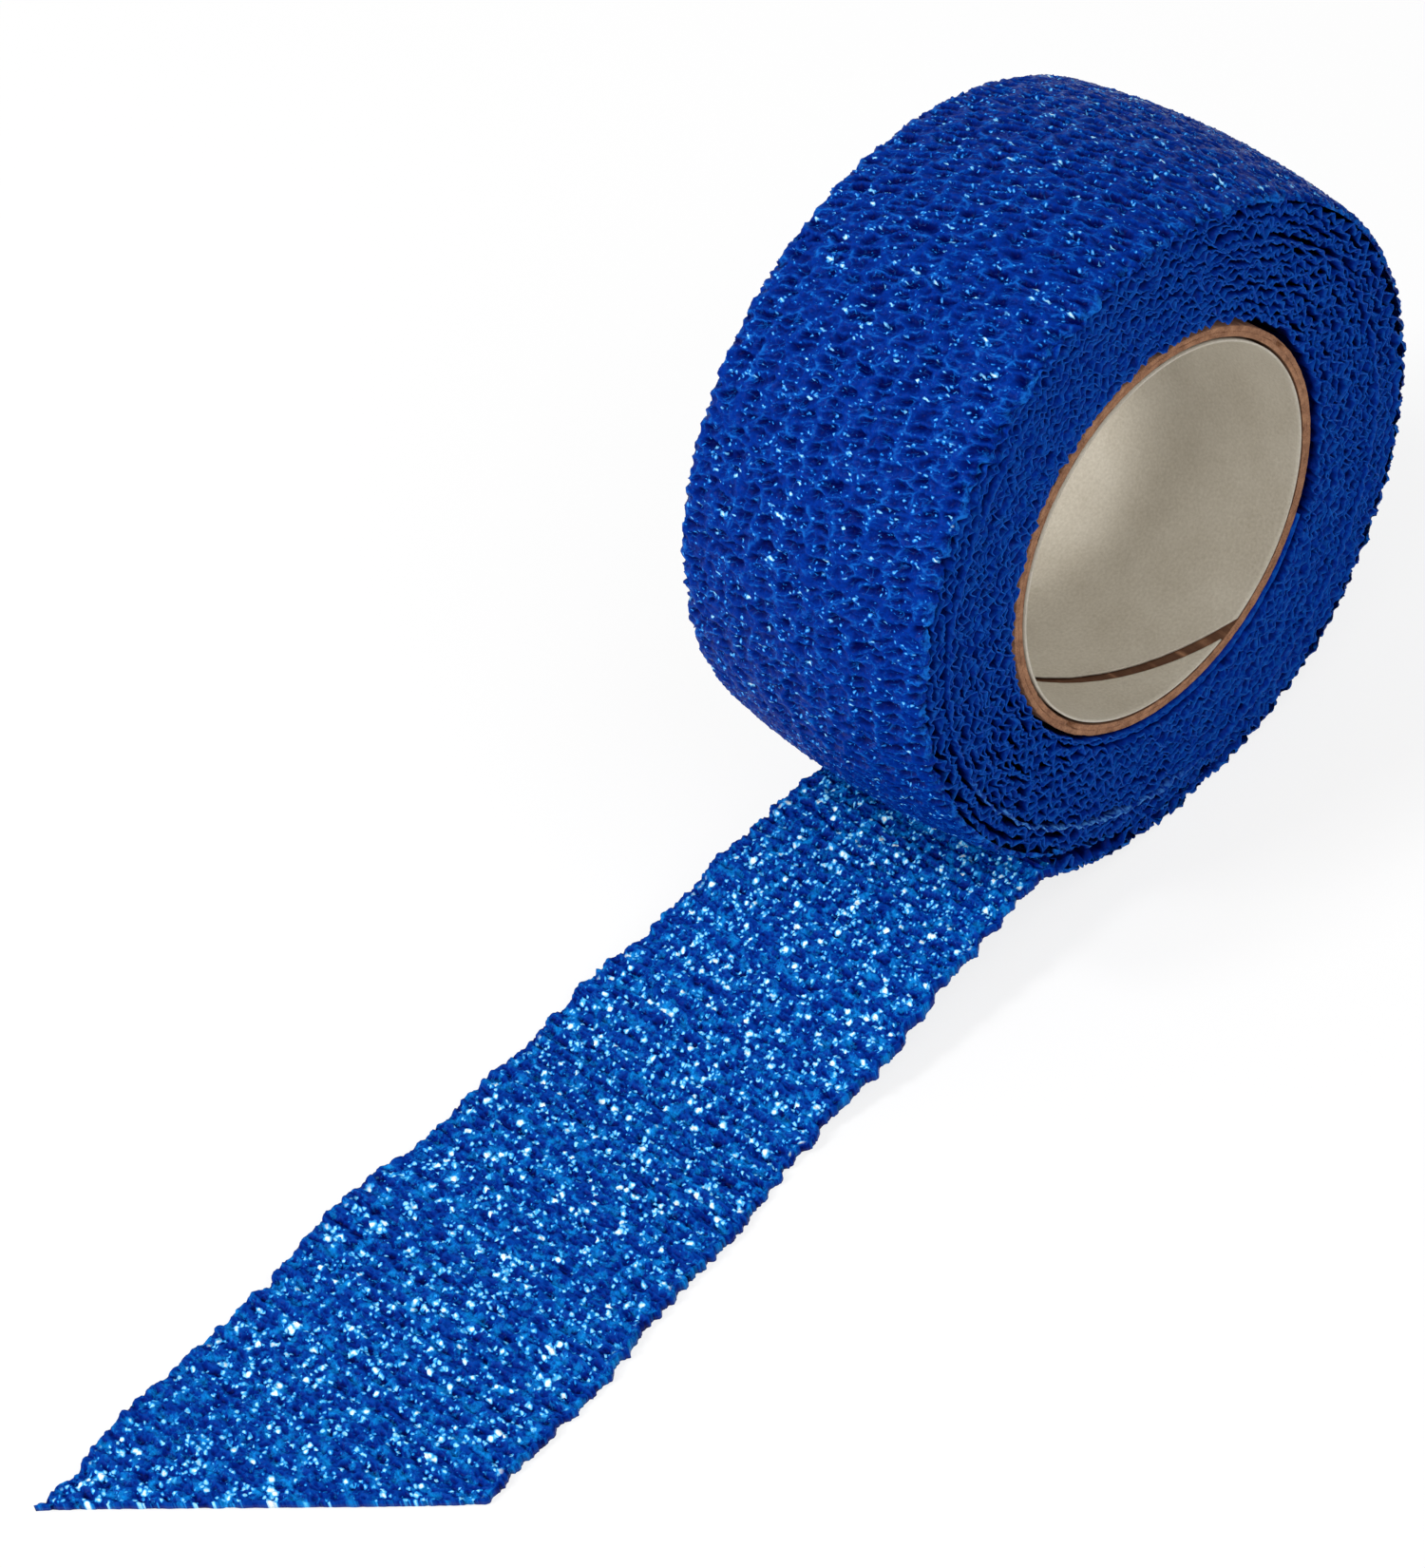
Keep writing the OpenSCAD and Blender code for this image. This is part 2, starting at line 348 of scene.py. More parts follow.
def web_edge_material():
    """The cut edges of the webs, with a painted highlight on their rims and painted shade a millimetre down
    between them.

    One turn was wound tighter than the rest, and its edge stands a little proud. A painted glint shows as a
    pale line along that edge on part of the near side.
    """
    mottle_size, mottle_depth = 0.45 * MM, 0.9
    line_at = math.radians(-129)
    material, tree, shader = new_material("cohesive_web_edges")
    place = add(tree, "ShaderNodeTexCoord").outputs["Object"]
    mottle = add(tree, "ShaderNodeTexNoise", {"Vector": place, "Scale": 1 / mottle_size, "Detail": 3.0})
    fold = add(tree, "ShaderNodeAttribute", attribute_name="fold_height").outputs["Fac"]
    height = add(tree, "ShaderNodeMath", (mottle, mottle_depth, fold), operation="MULTIPLY_ADD")
    centred = add(tree, "ShaderNodeMath", (height, mottle_depth / 2), operation="SUBTRACT")
    # Tones from the fold height, with mottling: painted shade deep between the webs, painted highlight on
    # their rims
    tone = three_tones(tree, centred, "#000B52", "#012C90", "#1762C2")
    outward = add(tree, "ShaderNodeVectorMath", (place,), operation="NORMALIZE")
    to_line = math.cos(line_at), 0.0, math.sin(line_at)
    facing = add(tree, "ShaderNodeVectorMath", (outward, to_line), operation="DOT_PRODUCT").outputs["Value"]
    # Painted glint: a pale line along the proud rim of the tighter turn, on part of the near side only
    painted_turn_line = add(tree, "ShaderNodeAttribute", attribute_name="turn_edge_glint").outputs["Fac"]
    for value, low, high in ((facing, 0.7, 0.95), (mottle, 0.42, 0.62)):
        part = add(tree, "ShaderNodeMapRange", (value, low, high))
        painted_turn_line = add(tree, "ShaderNodeMath", (painted_turn_line, part), operation="MULTIPLY")
    colour = add(tree, "ShaderNodeMix", {0: painted_turn_line, 6: tone, 7: linear("#5CA8EC")}, data_type="RGBA")
    tree.links.new(colour.outputs[2], shader.inputs["Base Color"])
    web_shader(shader)
    return material


def wound_web_tree():
    """One web of the winding: a ribbon along a spiral, buckled by noise, with its edges uneven.

    The two webs of a turn buckle apart from each other, and each sways in its own way too. Past the radius
    where the strip comes loose, the web stands off the roll, drifts to the near side and draws narrower.
    """
    apart_share, sway_share, rest_apart = 0.75, 0.7, 0.25
    other_noise, turn_noise, cell_share = 19.0, 3.0, 0.62
    tree = bpy.data.node_groups.new("wound_web", "GeometryNodeTree")
    tree.is_modifier = True
    tree.interface.new_socket("Geometry", in_out="OUTPUT", socket_type="NodeSocketGeometry")
    for label in ("Turns", "Inner radius", "Outer radius", "Point spacing", "Half width", "Rim depth", "Side",
                  "Zigzag", "Buckle size", "Edge play", "Core dip", "Web thickness", "Smooth turn radius",
                  "Turn pitch", "Start angle", "Seed", "Loose from", "Loose", "Drift", "Narrowing"):
        tree.interface.new_socket(label, in_out="INPUT", socket_type="NodeSocketFloat")
    tree.interface.new_socket("Material", in_out="INPUT", socket_type="NodeSocketMaterial")
    given = add(tree, "NodeGroupInput").outputs

    # The smooth ribbon: a rim, the middle and a rim, drawn out along the axis from an even spiral
    spiral = add(tree, "GeometryNodeCurveSpiral",
                 {"Resolution": 256, "Rotations": given["Turns"], "Start Radius": given["Inner radius"],
                  "End Radius": given["Outer radius"], "Height": 0.0, "Reverse": False})
    evenly = add(tree, "GeometryNodeResampleCurve", {"Curve": spiral, "Length": given["Point spacing"]},
                 mode="LENGTH")
    wire = add(tree, "GeometryNodeCurveToMesh", {"Curve": evenly})
    below = add(tree, "ShaderNodeMath", (given["Half width"], -1.0), operation="MULTIPLY")
    low = add(tree, "ShaderNodeCombineXYZ", {"Z": below})
    shape = add(tree, "GeometryNodeSetPosition", {"Geometry": wire, "Offset": low})
    half_middle = add(tree, "ShaderNodeMath", (given["Half width"], given["Rim depth"]), operation="SUBTRACT")
    middle = add(tree, "ShaderNodeMath", (half_middle, 2.0), operation="MULTIPLY")
    edge = True
    for step in (given["Rim depth"], middle, given["Rim depth"]):
        drawn = add(tree, "ShaderNodeCombineXYZ", {"Z": step})
        ribbon = add(tree, "GeometryNodeExtrudeMesh",
                     {"Mesh": shape, "Selection": edge, "Offset": drawn, "Offset Scale": 1.0}, mode="EDGES")
        shape, edge = ribbon.outputs["Mesh"], ribbon.outputs["Top"]

    # Where a point is: its turn, its depth below the rim, and how tightly its turn is held
    place = add(tree, "GeometryNodeInputPosition")
    parts = add(tree, "ShaderNodeSeparateXYZ", (place,)).outputs
    flat = add(tree, "ShaderNodeCombineXYZ", {"X": parts["X"], "Y": parts["Y"]})
    radius = add(tree, "ShaderNodeVectorMath", (flat,), operation="LENGTH").outputs["Value"]
    outward = add(tree, "ShaderNodeVectorMath", (flat,), operation="NORMALIZE")
    off_middle = add(tree, "ShaderNodeMath", (parts["Z"],), operation="ABSOLUTE")
    depth = add(tree, "ShaderNodeMath", (given["Half width"], off_middle), operation="SUBTRACT")
    near_rim = add(tree, "ShaderNodeMapRange", (depth, 0.0, given["Rim depth"], 1.0, 0.0))
    off_turn = add(tree, "ShaderNodeMath", (radius, given["Smooth turn radius"]), operation="SUBTRACT")
    off_turn = add(tree, "ShaderNodeMath", (off_turn,), operation="ABSOLUTE")
    half_pitch = add(tree, "ShaderNodeMath", (given["Turn pitch"], 0.5), operation="MULTIPLY")
    well_in = add(tree, "ShaderNodeMath", (half_pitch, 0.8), operation="MULTIPLY")
    smooth_turn = add(tree, "ShaderNodeMapRange", (off_turn, well_in, half_pitch, 1.0, 0.0))
    calm = add(tree, "ShaderNodeMath", (smooth_turn, -0.5, 1.0), operation="MULTIPLY_ADD")
    off_core = add(tree, "ShaderNodeMath", (radius, given["Inner radius"]), operation="SUBTRACT")
    first_turn = add(tree, "ShaderNodeMapRange", (off_core, 0.0, given["Turn pitch"], 1.0, 0.0))
    held = add(tree, "ShaderNodeMath", (given["Core dip"], -2.0 / MM), operation="MULTIPLY")
    calm = add(tree, "ShaderNodeMath", (first_turn, held, calm), operation="MULTIPLY_ADD")
    peeled = add(tree, "ShaderNodeMapRange", (radius, given["Loose from"], given["Outer radius"], 0.0, 1.0))

    # Noise of each turn's own, for its sway and its frayed edge, and noise that neighbours share
    turn = add(tree, "ShaderNodeMath", (radius, given["Turn pitch"]), operation="DIVIDE")
    own_turn = add(tree, "ShaderNodeMath", (turn, turn_noise, given["Seed"]), operation="MULTIPLY_ADD")
    fineness = add(tree, "ShaderNodeMath", (1.0, given["Buckle size"]), operation="DIVIDE")
    own_noise = []
    for shift in (0.0, other_noise):
        layer = add(tree, "ShaderNodeMath", (own_turn, shift), operation="ADD")
        layer = add(tree, "ShaderNodeMath", (layer, given["Buckle size"]), operation="MULTIPLY")
        own_noise.append(add(tree, "ShaderNodeTexNoise",
                             {"Vector": place, "W": layer, "Scale": fineness, "Detail": 0.5},
                             noise_dimensions="4D"))
    own_way = add(tree, "ShaderNodeMapRange", (own_noise[0], 0.3, 0.7, -1.0, 1.0))
    coarseness = add(tree, "ShaderNodeMath", (cell_share, given["Buckle size"]), operation="DIVIDE")
    cells = add(tree, "ShaderNodeTexNoise", {"Vector": place, "Scale": coarseness, "Detail": 1.0})
    parting = add(tree, "ShaderNodeMapRange", (cells, 0.32, 0.68, -1.0, 1.0))

    # How far the web moves in or out from its spiral
    parted = add(tree, "ShaderNodeMath", (parting, given["Side"]), operation="MULTIPLY")
    swayed = add(tree, "ShaderNodeMath", (own_way, sway_share), operation="MULTIPLY")
    zigzag = add(tree, "ShaderNodeMath", (parted, apart_share, swayed), operation="MULTIPLY_ADD")
    reach = add(tree, "ShaderNodeMath", (near_rim, 0.4, 0.6), operation="MULTIPLY_ADD")
    reach = add(tree, "ShaderNodeMath", (given["Zigzag"], reach), operation="MULTIPLY")
    apart = add(tree, "ShaderNodeMath", (given["Turn pitch"], rest_apart), operation="MULTIPLY")
    apart = add(tree, "ShaderNodeMath", (apart, given["Side"]), operation="MULTIPLY")
    shift = add(tree, "ShaderNodeMath", (zigzag, reach, apart), operation="MULTIPLY_ADD")
    shift = add(tree, "ShaderNodeMath", (shift, calm), operation="MULTIPLY")
    inward = add(tree, "ShaderNodeMath", (own_way, 0.0), operation="MINIMUM")
    filling = add(tree, "ShaderNodeMath", (given["Loose"], 1.3), operation="MULTIPLY")
    spread = add(tree, "ShaderNodeMath", (inward, filling, given["Loose"]), operation="MULTIPLY_ADD")
    shift = add(tree, "ShaderNodeMath", (peeled, spread, shift), operation="MULTIPLY_ADD")
    sideways = add(tree, "ShaderNodeVectorMath", {0: outward, "Scale": shift}, operation="SCALE")

    # How far its edges stand out of the roll's sides
    ragged = add(tree, "ShaderNodeMath", (0.3, own_noise[1]), operation="SUBTRACT")
    ragged = add(tree, "ShaderNodeMath", (ragged, calm), operation="MULTIPLY")
    play = add(tree, "ShaderNodeMath", (smooth_turn, 0.35, ragged), operation="MULTIPLY_ADD")
    play = add(tree, "ShaderNodeMath", (play, given["Edge play"]), operation="MULTIPLY")
    dip = add(tree, "ShaderNodeMath", (first_turn, given["Core dip"]), operation="MULTIPLY")
    rise = add(tree, "ShaderNodeMath", (play, dip), operation="SUBTRACT")
    facing = add(tree, "ShaderNodeMath", (parts["Z"],), operation="SIGN")
    proud = add(tree, "ShaderNodeMath", (rise, facing), operation="MULTIPLY")
    narrower = add(tree, "ShaderNodeMath", (given["Narrowing"], -1.0), operation="MULTIPLY")
    drift = add(tree, "ShaderNodeMath", (parts["Z"], narrower, given["Drift"]), operation="MULTIPLY_ADD")
    proud = add(tree, "ShaderNodeMath", (peeled, drift, proud), operation="MULTIPLY_ADD")
    lengthways = add(tree, "ShaderNodeCombineXYZ", {"Z": proud})
    move = add(tree, "ShaderNodeVectorMath", (sideways, lengthways), operation="ADD")

    # The finished web, with its heights kept for its colour, given a thickness and stood up on the core
    # The fold height carries painted shade and highlight for the colour, and the tighter turn's rim a painted
    # glint
    height = add(tree, "ShaderNodeMath", (near_rim, 0.7), operation="MULTIPLY")
    on_rim = add(tree, "ShaderNodeMath", (near_rim, 0.5), operation="GREATER_THAN")
    glint = add(tree, "ShaderNodeMath", (smooth_turn, on_rim), operation="MULTIPLY")
    for label, value in (("fold_height", height), ("turn_edge_glint", glint)):
        shape = add(tree, "GeometryNodeStoreNamedAttribute",
                    {"Geometry": shape, "Name": label, "Value": value}, data_type="FLOAT")
    shape = add(tree, "GeometryNodeSetPosition", {"Geometry": shape, "Offset": move})
    thick = add(tree, "GeometryNodeExtrudeMesh",
                {"Mesh": shape, "Offset Scale": given["Web thickness"], "Individual": False}, mode="FACES")
    under = add(tree, "GeometryNodeFlipFaces", {"Mesh": shape})
    shell = add(tree, "GeometryNodeJoinGeometry", (under,))
    tree.links.new(thick.outputs["Mesh"], shell.inputs[0])
    welded = add(tree, "GeometryNodeMergeByDistance", {"Geometry": shell, "Distance": 0.001 * MM})
    laid = add(tree, "ShaderNodeCombineXYZ", {"X": math.pi / 2, "Y": given["Start angle"]})
    turned = add(tree, "GeometryNodeTransform", {"Geometry": welded, "Rotation": laid})
    solid = add(tree, "GeometryNodeRealizeInstances", {"Geometry": turned})
    dressed = add(tree, "GeometryNodeSetMaterial", {"Geometry": solid, "Material": given["Material"]})
    add(tree, "NodeGroupOutput", {"Geometry": dressed})
    return tree


def grown(start, tree, values):
    """Replaces a starting object by the plain mesh that a node tree makes of it with these inputs."""
    modifier = start.modifiers.new(tree.name, "NODES")
    modifier.node_group = tree
    keys = {item.name: item.identifier for item in tree.interface.items_tree if item.in_out == "INPUT"}
    for label, value in values.items():
        modifier[keys[label]] = value
    start.update_tag()
    mesh = bpy.data.meshes.new_from_object(start.evaluated_get(bpy.context.evaluated_depsgraph_get()))
    start.modifiers.clear()
    old = start.data
    start.data = mesh
    bpy.data.meshes.remove(old)
    mesh.name = start.name
    return start


winding = wound_web_tree()
web_cut = {"Point spacing": 0.14 * MM, "Half width": STRIP_HALF + EDGE_PROUD * MM, "Rim depth": 1.1 * MM,
           "Buckle size": 0.58 * MM, "Edge play": 0.6 * MM, "Web thickness": 0.1 * MM,
           "Turn pitch": TURN_PITCH, "Loose from": LAST_WEB_OUT, "Material": web_edge_material()}
wound_spiral = {"Turns": WOUND_TURNS, "Inner radius": WOUND_IN, "Outer radius": WOUND_OUT,
                "Start angle": math.pi / 2 - LAST_TURN_SWEEP - 2 * math.pi * WOUND_TURNS,
                "Zigzag": WOUND_ZIGZAG, "Core dip": CORE_DIP, "Loose": 0.0, "Drift": 0.0, "Narrowing": 0.0}
last_spiral = {"Turns": (LAST_TURN_SWEEP + PEEL) / (2 * math.pi),
               "Inner radius": WOUND_OUT + SPIN_ROOM - LAST_WEB_DROP,
               "Outer radius": LAST_WEB_OUT + TURN_PITCH * PEEL / (2 * math.pi),
               "Start angle": math.pi / 2 - LAST_TURN_SWEEP, "Zigzag": LAST_ZIGZAG, "Core dip": 0.0,
               "Loose": PEEL_LOOSE * MM, "Drift": PEEL_DRIFT * MM, "Narrowing": PEEL_NARROW}
for name, body, nodes, under, spiral, own in (
        ("wound_inner_web", "roll", ("turns_inner_web", "turns_yarns"), "core_outer_ply", wound_spiral,
         {"Side": -1.0, "Smooth turn radius": 0.0, "Seed": 3.0}),
        ("wound_outer_web", "roll", ("turns_outer_web",), "core_outer_ply", wound_spiral,
         {"Side": 1.0, "Smooth turn radius": SMOOTH_TURN_R, "Seed": 90.0}),
        ("last_turn_inner_web", "strip", ("lead_inner_web", "lead_yarns"), "wound_outer_web", last_spiral,
         {"Side": 0.0, "Smooth turn radius": 0.0, "Seed": 47.0})):
    start = bpy.data.objects.new(name, bpy.data.meshes.new(name))
    scene.collection.objects.link(start)
    web = grown(start, winding, web_cut | spiral | own)
    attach(web, body)
    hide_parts(*nodes)

# Last turn
# The outermost turn of the strip, from where it slides under its own tail right round and past the bottom of
# the roll, to where it peels off. The relaxed yarns gather its web into pockets with sharp rims. It bulges
# along its middle, and its edges roll over the roll's sides.
TURN_STEP, ACROSS_STEP = 0.21, 0.27
LIP_R = 0.5
LIP_TURN = 1.75
LIP_PLAY = 0.12
CROWN, CROWN_TO, CROWN_RISE = 1.2, math.radians(345), math.radians(40)
SAG, SAG_TO, SAG_RISE, SAG_TOP = 0.45, math.radians(330), math.radians(25), math.radians(70)
WOUND_FOLDS = {"pitch": 1.05, "length": 2.6, "skew": 0.3, "stray": 0.9, "depth": 0.95, "small": 0.16,
               "grain": 0.35, "rows": 0.0}
WOUND_RELIEF = 0.5 * MM
# Painted glints on the last turn: pale dots, and dashes that run across the strip
WOUND_GLINTS = [((0.4, 0.5), 0.36, 0.3, ("#0856BC", "#1C80DC", "#78C8F8")),
              ((0.5, 1.2), 0.14, 0.3, ("#127AD8", "#7CCCFA", "#FFFFFF"))]
ROW_PITCH = 1.25
SKIN_GAP = 0.02
roll_r = ROLL_R / MM - SKIN_GAP
half_w = STRIP_HALF / MM + EDGE_PROUD


def crinkle(tree, place, folds):
    """Height of the gathered web, about 0 in its pockets and 1 on their rims, and where a sharp rim runs.

    The place is in millimetres along and across the strip. The pockets are longer across the strip than
    along it, and deepest under their forward rims. The same nodes shape the mesh and, as painted shade and
    highlight, colour it.
    """
    stray_size, swell_size, grit_size = 10 / 7, 20 / 11, 5 / 14      # millimetres: 7 strays in 10, and so on
    small_share, wall_width, rim_width = 0.42, 0.34, 0.1
    across = add(tree, "ShaderNodeSeparateXYZ", (place,)).outputs["Y"]
    skewed = add(tree, "ShaderNodeMath", (across, folds["skew"]), operation="MULTIPLY")
    slant = add(tree, "ShaderNodeCombineXYZ", (skewed,))
    slanted = add(tree, "ShaderNodeVectorMath", (place, slant), operation="ADD")
    stray = add(tree, "ShaderNodeTexNoise", {"Vector": place, "Scale": 1 / stray_size, "Detail": 2.0},
                noise_dimensions="2D")
    moved = add(tree, "ShaderNodeVectorMath", (stray.outputs["Color"], (folds["stray"],) * 3, slanted),
                operation="MULTIPLY_ADD")
    swell = add(tree, "ShaderNodeTexNoise", {"Vector": place, "Scale": 1 / swell_size, "Detail": 1.0},
                noise_dimensions="2D")
    uneven = add(tree, "ShaderNodeMapRange", (swell, 0.36, 0.64, 0.3 * folds["depth"], folds["depth"]),
                 interpolation_type="SMOOTHSTEP")
    height, rims = 0.95, []
    for share, depth in ((1.0, uneven), (small_share, folds["small"])):
        cells = add(tree, "ShaderNodeVectorMath",
                    (moved, (1 / folds["pitch"] / share, 1 / folds["length"] / share, 0.0)),
                    operation="MULTIPLY")
        pocket = {"Vector": cells, "Scale": 1.0, "Randomness": 0.7}
        edge = add(tree, "ShaderNodeTexVoronoi", pocket, voronoi_dimensions="2D",
                   feature="DISTANCE_TO_EDGE").outputs["Distance"]
        middle = add(tree, "ShaderNodeTexVoronoi", pocket, voronoi_dimensions="2D",
                     feature="F1").outputs["Position"]
        off_middle = add(tree, "ShaderNodeVectorMath", (cells, middle), operation="SUBTRACT")
        forward = add(tree, "ShaderNodeSeparateXYZ", (off_middle,)).outputs["X"]
        lean = add(tree, "ShaderNodeMapRange", (forward, -0.4, 0.3, 0.45, 1.1),
                   interpolation_type="SMOOTHSTEP")
        deepest = add(tree, "ShaderNodeMath", (depth, lean), operation="MULTIPLY")
        wall = add(tree, "ShaderNodeMapRange", (edge, 0.0, wall_width, 0.0, 1.0),
                   interpolation_type="SMOOTHSTEP")
        sunk = add(tree, "ShaderNodeMath", (wall, deepest), operation="MULTIPLY")
        height = add(tree, "ShaderNodeMath", (height, sunk), operation="SUBTRACT")
        rims.append(add(tree, "ShaderNodeMapRange", (edge, 0.0, rim_width, 1.0, 0.0),
                        interpolation_type="SMOOTHSTEP"))
    along = add(tree, "ShaderNodeSeparateXYZ", (moved,)).outputs["X"]
    phase = add(tree, "ShaderNodeMath", (along, 2 * math.pi / ROW_PITCH), operation="MULTIPLY")
    row = add(tree, "ShaderNodeMath", (phase,), operation="SINE")
    grit = add(tree, "ShaderNodeTexNoise", {"Vector": place, "Scale": 1 / grit_size, "Detail": 2.5},
               noise_dimensions="2D")
    grain = add(tree, "ShaderNodeMath", (grit, 0.5), operation="SUBTRACT")
    grain = add(tree, "ShaderNodeMath", (grain, 2 * folds["grain"]), operation="MULTIPLY")
    fine = add(tree, "ShaderNodeMath", (row, folds["rows"], grain), operation="MULTIPLY_ADD")
    height = add(tree, "ShaderNodeMath", (height, fine), operation="ADD")
    small_rim = add(tree, "ShaderNodeMath", (rims[1], 0.6), operation="MULTIPLY")
    return height, add(tree, "ShaderNodeMath", (rims[0], small_rim), operation="MAXIMUM")


def crinkle_tree(name, folds):
    """Sinks each point of a smooth strip along its own direction, by the depth of the fold it is in."""
    tree = bpy.data.node_groups.new(name, "GeometryNodeTree")
    tree.is_modifier = True
    for label, kind, side in (("Geometry", "Geometry", "INPUT"), ("Relief", "Float", "INPUT"),
                              ("Material", "Material", "INPUT"), ("Geometry", "Geometry", "OUTPUT")):
        tree.interface.new_socket(label, in_out=side, socket_type="NodeSocket" + kind)
    given = add(tree, "NodeGroupInput").outputs
    place, lift = (add(tree, "GeometryNodeInputNamedAttribute", {"Name": label}, data_type="FLOAT_VECTOR")
                   for label in ("strip_place", "strip_lift"))
    height = crinkle(tree, place, folds)[0]
    sunk = add(tree, "ShaderNodeMath", (height, 1.0), operation="SUBTRACT")
    amount = add(tree, "ShaderNodeMath", (sunk, given["Relief"]), operation="MULTIPLY")
    move = add(tree, "ShaderNodeVectorMath", {0: lift, "Scale": amount}, operation="SCALE")
    shape = add(tree, "GeometryNodeSetPosition", {"Geometry": given["Geometry"], "Offset": move})
    solid = add(tree, "GeometryNodeRealizeInstances", {"Geometry": shape})
    dressed = add(tree, "GeometryNodeSetMaterial", {"Geometry": solid, "Material": given["Material"]})
    add(tree, "NodeGroupOutput", {"Geometry": dressed})
    return tree


def dots(tree, place, cell, share, most, tones):
    """Where uneven pale dots are, and their colour, which is palest in the middle of the largest.

    The cell that may hold a dot is given along and across the strip, in millimetres. About this share of the
    cells hold one, and the largest dot has this radius as a share of the cell.
    """
    patch_size, ragged_size, ragged = 4 / 3, 5 / 13, 0.3              # millimetres: 3 patches in 4, and so on
    patch = add(tree, "ShaderNodeTexNoise", {"Vector": place, "Scale": 1 / patch_size, "Detail": 2.0},
                noise_dimensions="2D")
    stray = add(tree, "ShaderNodeTexNoise", {"Vector": place, "Scale": 1 / ragged_size, "Detail": 1.0},
                noise_dimensions="2D")
    moved = add(tree, "ShaderNodeVectorMath", (stray.outputs["Color"], (ragged,) * 3, place),
                operation="MULTIPLY_ADD")
    cells = add(tree, "ShaderNodeVectorMath", (moved, (1 / cell[0], 1 / cell[1], 0.0)), operation="MULTIPLY")
    dot = add(tree, "ShaderNodeTexVoronoi", {"Vector": cells, "Scale": 1.0, "Randomness": 1.0},
              voronoi_dimensions="2D", feature="F1")
    own = add(tree, "ShaderNodeSeparateXYZ", (dot.outputs["Color"],))
    patchy = add(tree, "ShaderNodeMath", (patch, 2.0, own), operation="MULTIPLY_ADD")
    strength = add(tree, "ShaderNodeMapRange", (patchy, 2.0 - share, 2.5 - share))
    size = add(tree, "ShaderNodeMath", (strength, most), operation="MULTIPLY")
    edge = add(tree, "ShaderNodeMath", (size, dot.outputs["Distance"]), operation="SUBTRACT")
    pale = add(tree, "ShaderNodeMapRange", (edge, -0.1, 0.26))
    shown = add(tree, "ShaderNodeMapRange", (pale, 0.0, 0.4))
    there = add(tree, "ShaderNodeMath", (strength, 0.0), operation="GREATER_THAN")
    inside = add(tree, "ShaderNodeMath", (shown, there), operation="MULTIPLY")
    return inside, three_tones(tree, pale, *tones)


def crinkled_web(name, folds, tones, line, film, film_range, lip_highlight, specks):
    """Crinkled web: navy in its pockets and blue on their rims, which are painted shade and highlight, with
    painted highlights along its sharpest rims and its lip, and paler where the film is stretched thin.

    Pale dots are painted glints, and on the open tail also pinholes where the table shows through; they stay
    off its very edge.
    """
    film_size, edge_width, dots_end, dots_fade = 1.25, 0.9, 0.3, 0.8
    material, tree, shader = new_material(name)
    place = add(tree, "ShaderNodeAttribute", attribute_name="strip_place").outputs["Vector"]
    height, rim = crinkle(tree, place, folds)
    # Painted shade in the pockets and painted highlight on their rims, from the fold height
    colour = three_tones(tree, height, *tones)
    patch = add(tree, "ShaderNodeTexNoise",
                {"Vector": place, "Scale": 1 / film_size, "Detail": 4.0, "Roughness": 0.7},
                noise_dimensions="2D")
    thin = add(tree, "ShaderNodeMapRange", (patch, *film_range))
    part = add(tree, "ShaderNodeMapRange", (patch, 0.46, 0.7))
    # Painted highlights along the sharp rims, in the line colour, broken into patches
    painted_rim_glint = add(tree, "ShaderNodeMath", (rim, part), operation="MULTIPLY")
    across = add(tree, "ShaderNodeSeparateXYZ", (place,)).outputs["Y"]
    off = add(tree, "ShaderNodeMath", (across,), operation="ABSOLUTE")
    # Painted highlight in the line colour along the strip's outer edges, where the web rolls over the roll's
    # side
    at_edge = add(tree, "ShaderNodeMapRange", (off, half_w - edge_width, half_w, 0.0, lip_highlight))
    painted_lip_glint = add(tree, "ShaderNodeMath", (at_edge, part), operation="MULTIPLY")
    layers = [(painted_rim_glint, linear(line)), (thin, linear(film)), (painted_lip_glint, linear(line))]
    inner = add(tree, "ShaderNodeMapRange", (off, half_w - dots_fade, half_w - dots_end, 1.0, 0.0))
    # Pale dots: painted glints, and on the open tail also pinholes with the table showing through
    for speck in specks:
        inside, pale = dots(tree, place, *speck)
        layers.append((add(tree, "ShaderNodeMath", (inside, inner), operation="MULTIPLY"), pale))
    for share, pale in layers:
        colour = add(tree, "ShaderNodeMix", {0: share, 6: colour, 7: pale}, data_type="RGBA").outputs[2]
    bump = add(tree, "ShaderNodeBump", {"Height": height, "Strength": 0.5, "Distance": 0.2 * MM})
    tree.links.new(colour, shader.inputs["Base Color"])
    tree.links.new(bump.outputs[0], shader.inputs["Normal"])
    web_shader(shader)
    return material


def eased(share):
    """A share from 0 to 1 that starts and stops gently."""
    share = np.clip(share, 0, 1)
    return share ** 2 * (3 - 2 * share)


def store(piece, **fields):
    """Keeps a direction or place per point on a piece, for its nodes."""
    for name, values in fields.items():
        kept = piece.data.attributes.new(name, "FLOAT_VECTOR", "POINT")
        kept.data.foreach_set("vector", np.ascontiguousarray(values, np.float32).ravel())


